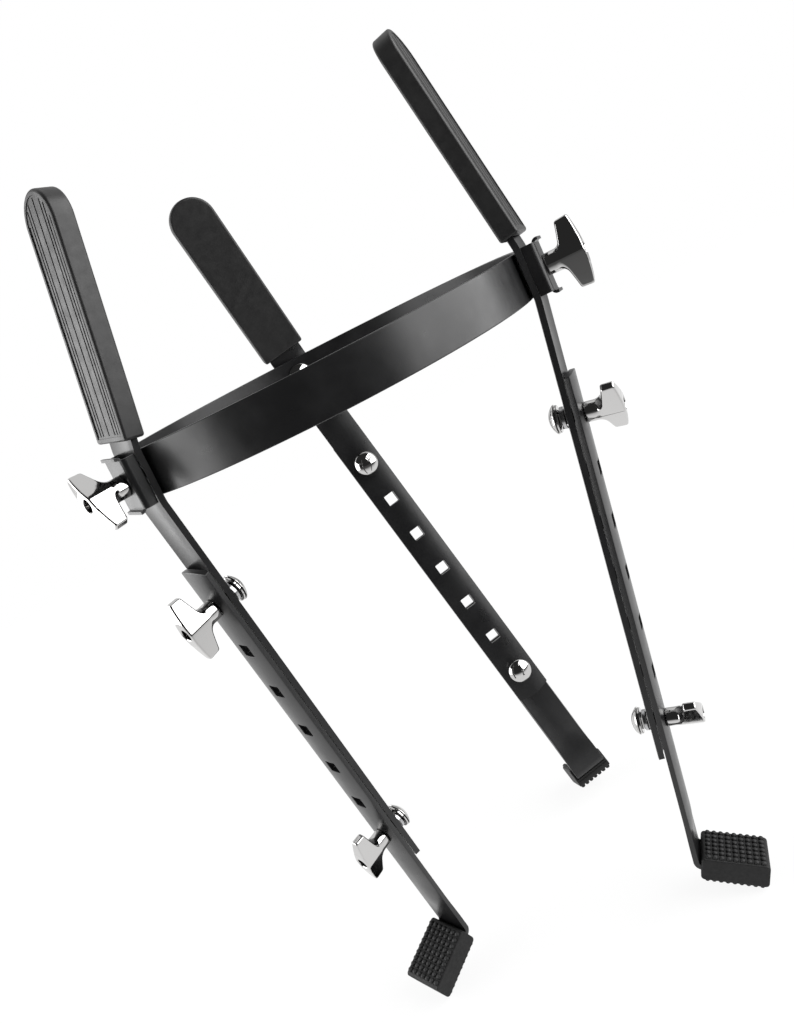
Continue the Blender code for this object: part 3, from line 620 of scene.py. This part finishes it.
def make_thread(root):
    """The ridge of the thread: a closed helix of a triangular section, from the neck to the end."""
    crest = BOLT_DIAMETER / 2
    start = -NECK_LENGTH - THREAD_PITCH
    turns = (BOLT_LENGTH - NECK_LENGTH - 3 * THREAD_PITCH) / THREAD_PITCH
    steps = int(turns * THREAD_FACETS)
    half = THREAD_PITCH * 0.45
    shape = bmesh.new()
    rows = []
    for step in range(steps + 1):
        angle = 2 * math.pi * step / THREAD_FACETS
        height = start - THREAD_PITCH * step / THREAD_FACETS
        fade = min(1.0, step / THREAD_FACETS, (steps - step) / THREAD_FACETS)
        reach = root + (crest - root) * fade
        crest_half = THREAD_PITCH * 0.06
        foot = root - THREAD_SUNK
        section = [(foot, half), (reach, crest_half), (reach, -crest_half), (foot, -half)]
        rows.append([
            shape.verts.new((radius * math.cos(angle), radius * math.sin(angle), height + rise))
            for radius, rise in section])
    for first, second in zip(rows, rows[1:]):
        for index in range(4):
            after = (index + 1) % 4
            shape.faces.new((first[index], first[after], second[after], second[index]))
    shape.faces.new(rows[0])
    shape.faces.new(list(reversed(rows[-1])))
    bmesh.ops.recalc_face_normals(shape, faces=shape.faces)
    return as_mesh(shape)


def make_flat_washer():
    inner, outer, edge = NECK_BORE / 2, NECK_BORE / 2 + FLAT_WASHER_RIM, 0.0003
    low = -FLAT_WASHER_THICKNESS
    profile = [
        (inner + edge, 0.0), (outer - edge, 0.0), (outer, -edge), (outer, low + edge),
        (outer - edge, low), (inner + edge, low), (inner, low + edge), (inner, -edge)]
    washer = turned(profile, 64, closed=True)
    return placed(washer, Matrix.Rotation(math.pi / 2, 4, "Y"))


SPRING_WIRE_ROUND = 0.00025


def make_spring_washer():
    """A spring washer: one helical turn of square wire, its two ends apart."""
    inner, outer = NECK_BORE / 2, NECK_BORE / 2 + SPRING_WASHER_RIM
    wire = SPRING_WASHER_HEIGHT * 0.56
    climb = SPRING_WASHER_HEIGHT - wire
    steps = 64
    gap_angle = math.radians(9)
    edge = SPRING_WIRE_ROUND
    shape = bmesh.new()
    rows = []
    for step in range(steps + 1):
        share = step / steps
        angle = gap_angle / 2 + (2 * math.pi - gap_angle) * share
        low = -SPRING_WASHER_HEIGHT + climb * share
        section = [
            (inner + edge, low), (outer - edge, low), (outer, low + edge),
            (outer, low + wire - edge), (outer - edge, low + wire), (inner + edge, low + wire),
            (inner, low + wire - edge), (inner, low + edge)]
        rows.append([
            shape.verts.new((radius * math.cos(angle), radius * math.sin(angle), height))
            for radius, height in section])
    for first, second in zip(rows, rows[1:]):
        for index in range(8):
            after = (index + 1) % 8
            shape.faces.new((first[index], first[after], second[after], second[index]))
    shape.faces.new(rows[0])
    shape.faces.new(list(reversed(rows[-1])))
    bmesh.ops.recalc_face_normals(shape, faces=shape.faces)
    return placed(as_mesh(shape), Matrix.Rotation(math.pi / 2, 4, "Y"))


NUT_RIDGE = 0.0138
NUT_EDGE = 0.0014
NUT_FILLET = 0.0042
NUT_CREASE = 0.0006
NUT_VOXEL = 0.00035
NUT_FITS = 5
NUT_TAPER_START = 0.4
NUT_TAPER_CURVE = 0.8
NUT_TIP_RAKE = 0.08
NUT_STEM_STOP = 0.003


def softest(first, second, reach):
    """The larger of two distances, rounded over where they are nearly alike."""
    near = np.maximum(reach - np.abs(first - second), 0.0) / reach
    return np.maximum(first, second) + near ** 2 * reach / 4


def nut_distance(points):
    """How far points lie outside the nut's cast form: tapered wings with a ridge, on a round stem."""
    height, across = points[:, 0], np.abs(points[:, 1])
    half_span = NUT_SPAN / 2
    boss = NUT_BOSS / 2
    along = np.sqrt(points[:, 2] ** 2 + NUT_CREASE ** 2)
    slope = (NUT_RIDGE - NUT_TIP) / 2 / half_span
    broad = (across - NUT_RIDGE / 2 + slope * along) / math.sqrt(1 + slope ** 2)
    share = np.clip((along - boss * NUT_TAPER_START) / (half_span - boss * NUT_TAPER_START), 0.0, 1.2)
    inner_edge = NUT_WAIST + (NUT_TIP_INNER - NUT_WAIST) * share ** NUT_TAPER_CURVE
    outer_edge = NUT_LENGTH - (NUT_LENGTH - NUT_TIP_OUTER) * (along / half_span) ** 2
    wings = softest(inner_edge - height, height - outer_edge, NUT_EDGE)
    wings = softest(wings, along - half_span + NUT_TIP_RAKE * (NUT_LENGTH - height), NUT_EDGE)
    stem = softest(np.hypot(points[:, 2], across) - boss, -height, NUT_EDGE / 2)
    stem = np.maximum(stem, height - NUT_LENGTH + NUT_STEM_STOP)
    joined = -softest(-wings, -stem, NUT_FILLET)
    return softest(joined, broad, NUT_EDGE)


def point_places(mesh):
    places = np.empty(len(mesh.vertices) * 3)
    mesh.vertices.foreach_get("co", places)
    return places.reshape(-1, 3)


def slopes_of(distance, places):
    step = 0.00002
    slopes = np.empty_like(places)
    for axis in range(3):
        shift = np.zeros(3)
        shift[axis] = step
        slopes[:, axis] = (distance(places + shift) - distance(places - shift)) / (2 * step)
    return slopes


def fitted(mesh, distance, rounds):
    """Moves a mesh's points onto the surface where a distance is zero."""
    places = point_places(mesh)
    for _ in range(rounds):
        slopes = slopes_of(distance, places)
        steep = np.maximum((slopes ** 2).sum(axis=1), 0.2)
        places -= slopes * (distance(places) / steep)[:, None]
    mesh.vertices.foreach_set("co", places.ravel())
    mesh.update()
    return mesh


def smoothly_lit(mesh, distance, agree=0.9):
    """Gives the faces that lie on a distance's surface the normals of that distance."""
    slopes = slopes_of(distance, point_places(mesh))
    slopes /= np.maximum(np.linalg.norm(slopes, axis=1), 1e-9)[:, None]
    corners = np.empty(len(mesh.loops), dtype=np.int32)
    mesh.loops.foreach_get("vertex_index", corners)
    normals = slopes[corners]
    for face in mesh.polygons:
        loops = slice(face.loop_start, face.loop_start + face.loop_total)
        if (normals[loops] @ np.array(face.normal)).min() < agree:
            normals[loops] = 0.0
    mesh.normals_split_custom_set(normals.tolist())
    return mesh


def make_wing_nut():
    """The T-shaped nut as a casting: its surface is fitted to smooth wings and a stem."""
    half_span = NUT_SPAN / 2
    outline = [(-half_span, NUT_TIP_INNER), (-NUT_BOSS / 2, NUT_WAIST), (-NUT_BOSS / 2, 0.0),
               (NUT_BOSS / 2, 0.0), (NUT_BOSS / 2, NUT_WAIST), (half_span, NUT_TIP_INNER),
               (half_span, NUT_TIP_OUTER), (0.0, NUT_LENGTH), (-half_span, NUT_TIP_OUTER)]
    start = plate(outline, NUT_MIDDLE)
    start = placed(start, Matrix(((0, 1, 0, 0), (0, 0, 1, 0), (1, 0, 0, 0), (0, 0, 0, 1))))
    nut = modified(start, "REMESH", mode="VOXEL", voxel_size=NUT_VOXEL)
    nut = fitted(nut, nut_distance, NUT_FITS)
    bore = BOLT_DIAMETER / 2 + GAP
    ease = 0.0005
    profile = [(0.0, NUT_LENGTH + ease), (bore + 2 * ease, NUT_LENGTH + ease), (bore, NUT_LENGTH - ease)]
    profile += [(bore, ease), (bore + 2 * ease, -ease), (0.0, -ease)]
    cutter = placed(turned(profile, 48), Matrix.Rotation(math.pi / 2, 4, "Y"))
    return joined_or_cut(nut, cutter, "DIFFERENCE")


# Finishes

def new_material(name, colour, roughness, metallic=0.0):
    material = bpy.data.materials.new(name)
    material.use_nodes = True
    shader = material.node_tree.nodes["Principled BSDF"]
    shader.inputs["Base Color"].default_value = (*colour, 1.0)
    shader.inputs["Roughness"].default_value = roughness
    shader.inputs["Metallic"].default_value = metallic
    return material, material.node_tree, shader


def add_noise(tree, scale, detail=3.0, roughness=0.55):
    place = tree.nodes.get("Texture Coordinate") or tree.nodes.new("ShaderNodeTexCoord")
    noise = tree.nodes.new("ShaderNodeTexNoise")
    noise.inputs["Scale"].default_value = scale
    noise.inputs["Detail"].default_value = detail
    noise.inputs["Roughness"].default_value = roughness
    tree.links.new(place.outputs["Object"], noise.inputs["Vector"])
    return noise.outputs["Fac"]


def remapped(tree, value, low, high, start=0.3, end=0.7):
    node = tree.nodes.new("ShaderNodeMapRange")
    node.inputs["From Min"].default_value = start
    node.inputs["From Max"].default_value = end
    node.inputs["To Min"].default_value = low
    node.inputs["To Max"].default_value = high
    tree.links.new(value, node.inputs["Value"])
    return node.outputs["Result"]


def mixed_colour(tree, factor, first, second):
    node = tree.nodes.new("ShaderNodeMix")
    node.data_type = "RGBA"
    node.inputs["A"].default_value = (*first, 1.0)
    node.inputs["B"].default_value = (*second, 1.0)
    tree.links.new(factor, node.inputs["Factor"])
    return node.outputs["Result"]


def node_of(tree, kind, *links):
    """A new node, its inputs in turn linked to an output, set to a number, or left where None."""
    node = tree.nodes.new(kind)
    for socket, source in zip(node.inputs, links):
        if isinstance(source, bpy.types.NodeSocket):
            tree.links.new(source, socket)
        elif source is not None:
            socket.default_value = source
    return node


def calculated(tree, operation, first, second):
    node = node_of(tree, "ShaderNodeMath", first, second)
    node.operation = operation
    return node.outputs[0]


def add_bump(tree, shader, height, strength, distance):
    bump = tree.nodes.new("ShaderNodeBump")
    bump.inputs["Strength"].default_value = strength
    bump.inputs["Distance"].default_value = distance
    tree.links.new(height, bump.inputs["Height"])
    tree.links.new(bump.outputs["Normal"], shader.inputs["Normal"])


def powder_coat():
    """Black satin powder coat: a fine orange peel, slightly uneven gloss and faint rubbed patches."""
    material, tree, shader = new_material("powder_coat", (0.009, 0.009, 0.0095), 0.32)
    rubbed = remapped(tree, add_noise(tree, 28.0, 5.0, 0.65), 0.0, 1.0, 0.45, 0.75)
    colour = mixed_colour(tree, rubbed, (0.008, 0.008, 0.0085), (0.014, 0.014, 0.0145))
    tree.links.new(colour, shader.inputs["Base Color"])
    gloss = remapped(tree, add_noise(tree, 60.0, 4.0), 0.27, 0.36)
    tree.links.new(gloss, shader.inputs["Roughness"])
    add_bump(tree, shader, add_noise(tree, 1500.0, 2.0), 0.10, 0.0002)
    return material


def grip_rubber():
    """Black moulded rubber: a fine matt grain, with dusty lighter streaks."""
    material, tree, shader = new_material("grip_rubber", (0.013, 0.0128, 0.013), 0.45)
    dusty = remapped(tree, add_noise(tree, 90.0, 6.0, 0.7), 0.0, 1.0, 0.45, 0.8)
    colour = mixed_colour(tree, dusty, (0.010, 0.0098, 0.010), (0.018, 0.0177, 0.0175))
    tree.links.new(colour, shader.inputs["Base Color"])
    tree.links.new(remapped(tree, add_noise(tree, 160.0, 4.0), 0.38, 0.50), shader.inputs["Roughness"])
    add_bump(tree, shader, add_noise(tree, 2200.0, 3.0), 0.16, 0.0002)
    return material


def foot_rubber():
    """Matt black rubber with random dusty patches; painted shade darkens it low between the nubs, and
    painted light brightens the nub tops.
    """
    material, tree, shader = new_material("foot_rubber", (0.010, 0.010, 0.010), 0.62)
    shader.inputs["Specular IOR Level"].default_value = 0.35
    dusty = remapped(tree, add_noise(tree, 220.0, 6.0, 0.7), 0.7, 1.3, 0.3, 0.7)
    apart = node_of(tree, "ShaderNodeSeparateXYZ", tree.nodes["Texture Coordinate"].outputs["Object"])
    level = calculated(tree, "ABSOLUTE", apart.outputs["Z"], None)
    # Painted shade and light by height above the broad face: darker low between the nubs, lighter on the
    # nub tops.
    painted_light_on_tops = remapped(tree, level, 0.0, 1.0, NUB_LEVEL + 0.0004, NUB_LEVEL + NUB_HEIGHT)
    rubber = mixed_colour(tree, painted_light_on_tops, (0.0065, 0.0065, 0.0067), (0.017, 0.017, 0.0175))
    # Random dust multiplied onto the painted shade and light of the nubs.
    dust_and_painted_shade = node_of(tree, "ShaderNodeVectorMath", rubber, dusty)
    dust_and_painted_shade.operation = "MULTIPLY"
    tree.links.new(dust_and_painted_shade.outputs[0], shader.inputs["Base Color"])
    tree.links.new(remapped(tree, add_noise(tree, 400.0, 4.0), 0.5, 0.68), shader.inputs["Roughness"])
    add_bump(tree, shader, add_noise(tree, 2600.0, 3.0), 0.22, 0.0002)
    return material


def chrome():
    """Polished plate over a casting: near mirror, with a faint waviness and small hazy patches."""
    material, tree, shader = new_material("chrome", (0.58, 0.575, 0.57), 0.05, 1.0)
    hazy = remapped(tree, add_noise(tree, 140.0, 5.0, 0.6), 0.03, 0.12, 0.4, 0.75)
    tree.links.new(hazy, shader.inputs["Roughness"])
    add_bump(tree, shader, add_noise(tree, 260.0, 2.0), 0.05, 0.0002)
    return material


def washer_steel():
    material, tree, shader = new_material("washer_steel", (0.50, 0.50, 0.505), 0.25, 1.0)
    tree.links.new(remapped(tree, add_noise(tree, 300.0, 5.0), 0.18, 0.36), shader.inputs["Roughness"])
    add_bump(tree, shader, add_noise(tree, 900.0, 3.0), 0.12, 0.0002)
    return material


FINISHES = {
    "powder_coat": powder_coat(),
    "grip_rubber": grip_rubber(),
    "foot_rubber": foot_rubber(),
    "chrome": chrome(),
    "washer_steel": washer_steel(),
}


# Assembly

def shaded(mesh, slot, distance=None, angle=32.0):
    mesh.materials.clear()
    mesh.materials.append(FINISHES[slot])
    mesh.shade_smooth()
    mesh.set_sharp_from_angle(angle=math.radians(angle))
    if distance:
        return smoothly_lit(mesh, distance)
    return modified(mesh, "WEIGHTED_NORMAL", keep_sharp=True)


def add_piece(node, mesh, body, matrix):
    """A piece that stands for the node of its name and rides on a body."""
    piece = bpy.data.objects.new(f"fine_{node}", mesh)
    bpy.context.scene.collection.objects.link(piece)
    piece.matrix_world = matrix
    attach(piece, body)
    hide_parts(node)
    return piece


def hoop_frame(azimuth):
    turn = Matrix.Rotation(math.radians(azimuth), 4, "Z")
    return Matrix.Translation(HOOP_CENTRE) @ turn @ Matrix.Translation((HOOP_OUTER, 0, 0))


def nut_turn(side, place):
    return Matrix.Rotation(math.radians(NUT_TURNS[side][place]), 4, "X")


def build_stand():
    bolt = shaded(make_bolt(), "chrome")
    wing_nut = shaded(make_wing_nut(), "chrome", nut_distance)
    flat_washer = shaded(make_flat_washer(), "chrome")
    spring_washer = shaded(make_spring_washer(), "washer_steel")
    arm_grip = shaded(make_arm_grip(), "grip_rubber")
    foot = shaded(make_foot(), "foot_rubber")
    hoop_clamp = shaded(make_hoop_clamp(), "powder_coat")
    hoop = shaded(make_hoop(), "powder_coat")
    add_piece("hoop", hoop, "ring", Matrix.Translation(HOOP_CENTRE))

    for side, leg in LEGS.items():
        lean = leg["lean"]
        body = f"leg_{side}"
        seat = hoop_frame(leg["azimuth"])
        pivot = seat @ Matrix.Rotation(math.radians(leg["swivel"]), 4, "X")
        upper_bar = shaded(make_upper_bar(lean), "powder_coat")
        lower_bar = shaded(make_lower_bar(lean), "powder_coat")
        add_piece(f"upper_bar_{side}", upper_bar, body, pivot)
        add_piece(f"lower_bar_{side}", lower_bar, body, pivot)
        add_piece(f"arm_grip_{side}", arm_grip, body, pivot)
        add_piece(f"hoop_clamp_{side}", hoop_clamp, body, pivot)
        add_piece(f"foot_{side}", foot, body, pivot @ foot_frame(lean))
        head = seat @ Matrix.Translation((HOOP_HEAD_SEAT, 0, 0))
        add_piece(f"hoop_bolt_{side}", bolt, "ring", head)
        nut_seat = pivot @ Matrix.Translation((HOOP_NUT_SEAT, 0, 0)) @ nut_turn(side, "hoop")
        add_piece(f"hoop_wing_nut_{side}", wing_nut, f"hoop_nut_{side}", nut_seat)
        for place, run in {"upper": FIRST_HOLE, "lower": LAST_HOLE}.items():
            head = pivot @ leg_frame(lean, run, LEG_HEAD_SEAT)
            flat = pivot @ leg_frame(lean, run, FLAT_WASHER_SEAT)
            spring = pivot @ leg_frame(lean, run, SPRING_WASHER_SEAT)
            nut_seat = pivot @ leg_frame(lean, run, LEG_NUT_SEAT) @ nut_turn(side, place)
            add_piece(f"{place}_leg_bolt_{side}", bolt, body, head)
            add_piece(f"{place}_flat_washer_{side}", flat_washer, body, flat)
            add_piece(f"{place}_spring_washer_{side}", spring_washer, body, spring)
            add_piece(f"{place}_wing_nut_{side}", wing_nut, f"{place}_nut_{side}", nut_seat)


# Floor and light: white all round, dark on the camera's side, and two soft boxes at the sides

FLOOR_SIZE = 6.0
FLOOR_GLOW = 1.03
FLOOR_GLOW_SHARE = 0.86
WORLD_LIGHT = 0.4
DARK_SIDE = 0.03
CAMERA_SIDE = (-0.1166, -0.9659, 0.2311)
RIGHT_REAR = (0.57, 0.82, 0.0)
REAR = 0.9
RIGHT_REAR_DIM = 0.5

# Soft boxes: place on the floor plan and height, size and power
LAMPS = {
    "left": ((-1.09, 0.12, 0.56), (1.3, 0.98), 14.0),
    "right": ((0.95, -0.57, 0.87), (1.45, 1.5), 29.0),
}


def make_floor():
    """A pale floor: white to the camera and to metal, apart from the stand's soft shadow."""
    shape = bmesh.new()
    bmesh.ops.create_grid(shape, x_segments=1, y_segments=1, size=FLOOR_SIZE / 2)
    floor = bpy.data.objects.new("floor", as_mesh(shape))
    bpy.context.scene.collection.objects.link(floor)
    floor.location = (0, 0, -0.0005)
    material, tree, shader = new_material("floor", (0.80, 0.80, 0.80), 0.9)
    path = tree.nodes.new("ShaderNodeLightPath")
    camera_ray, glossy_ray = path.outputs["Is Camera Ray"], path.outputs["Is Glossy Ray"]
    place = tree.nodes.new("ShaderNodeTexCoord")
    apart = node_of(tree, "ShaderNodeSeparateXYZ", place.outputs["Object"])
    to_front = remapped(tree, apart.outputs["Y"], 0.08, 1.0, -0.72, -0.15)
    brightness = calculated(tree, "MAXIMUM", to_front, camera_ray)
    glow = tree.nodes.new("ShaderNodeEmission")
    tree.links.new(calculated(tree, "MULTIPLY", brightness, FLOOR_GLOW), glow.inputs["Strength"])
    far = node_of(tree, "ShaderNodeVectorMath", place.outputs["Object"])
    far.operation = "LENGTH"
    share = remapped(tree, far.outputs["Value"], FLOOR_GLOW_SHARE, 1.0, 0.35, 1.1)
    seen = calculated(tree, "MAXIMUM", camera_ray, glossy_ray)
    mix = node_of(
        tree, "ShaderNodeMixShader", calculated(tree, "MULTIPLY", seen, share),
        shader.outputs[0], glow.outputs[0])
    tree.links.new(mix.outputs[0], tree.nodes["Material Output"].inputs["Surface"])
    floor.data.materials.append(material)


def make_world():
    world = bpy.data.worlds.new("studio")
    bpy.context.scene.world = world
    world.use_nodes = True
    tree = world.node_tree
    background = tree.nodes["Background"]
    background.inputs["Color"].default_value = (1, 1, 1, 1)
    path = tree.nodes.new("ShaderNodeLightPath")
    place = tree.nodes.new("ShaderNodeTexCoord")
    facing = node_of(tree, "ShaderNodeVectorMath", place.outputs["Generated"], CAMERA_SIDE)
    facing.operation = "DOT_PRODUCT"
    rear = node_of(tree, "ShaderNodeVectorMath", place.outputs["Generated"], RIGHT_REAR)
    rear.operation = "DOT_PRODUCT"
    dim = remapped(tree, rear.outputs["Value"], REAR, RIGHT_REAR_DIM, 0.55, 0.95)
    front = remapped(tree, facing.outputs["Value"], 1.0, 0.0, -0.05, 0.2)
    studio = calculated(tree, "MAXIMUM", calculated(tree, "MULTIPLY", dim, front), DARK_SIDE)
    white = calculated(
        tree, "MAXIMUM", path.outputs["Is Camera Ray"], path.outputs["Is Transmission Ray"])
    mirrored = calculated(tree, "MULTIPLY", studio, path.outputs["Is Glossy Ray"])
    seen = calculated(tree, "MAXIMUM", white, mirrored)
    lit = calculated(tree, "MULTIPLY", path.outputs["Is Diffuse Ray"], WORLD_LIGHT)
    tree.links.new(calculated(tree, "MAXIMUM", seen, lit), background.inputs["Strength"])


def make_lamps():
    for name, (place, size, power) in LAMPS.items():
        data = bpy.data.lights.new(name, "AREA")
        data.shape = "RECTANGLE"
        data.size, data.size_y = size
        data.energy = power
        lamp = bpy.data.objects.new(name, data)
        bpy.context.scene.collection.objects.link(lamp)
        lamp.location = place
        lamp.rotation_euler = (HOOP_CENTRE - Vector(place)).to_track_quat("-Z", "Y").to_euler()


make_camera()
build_stand()
make_floor()
make_world()
make_lamps()
bpy.context.scene.view_settings.view_transform = "Standard"

bpy.data.collections.remove(workshop)
bpy.context.view_layer.update()
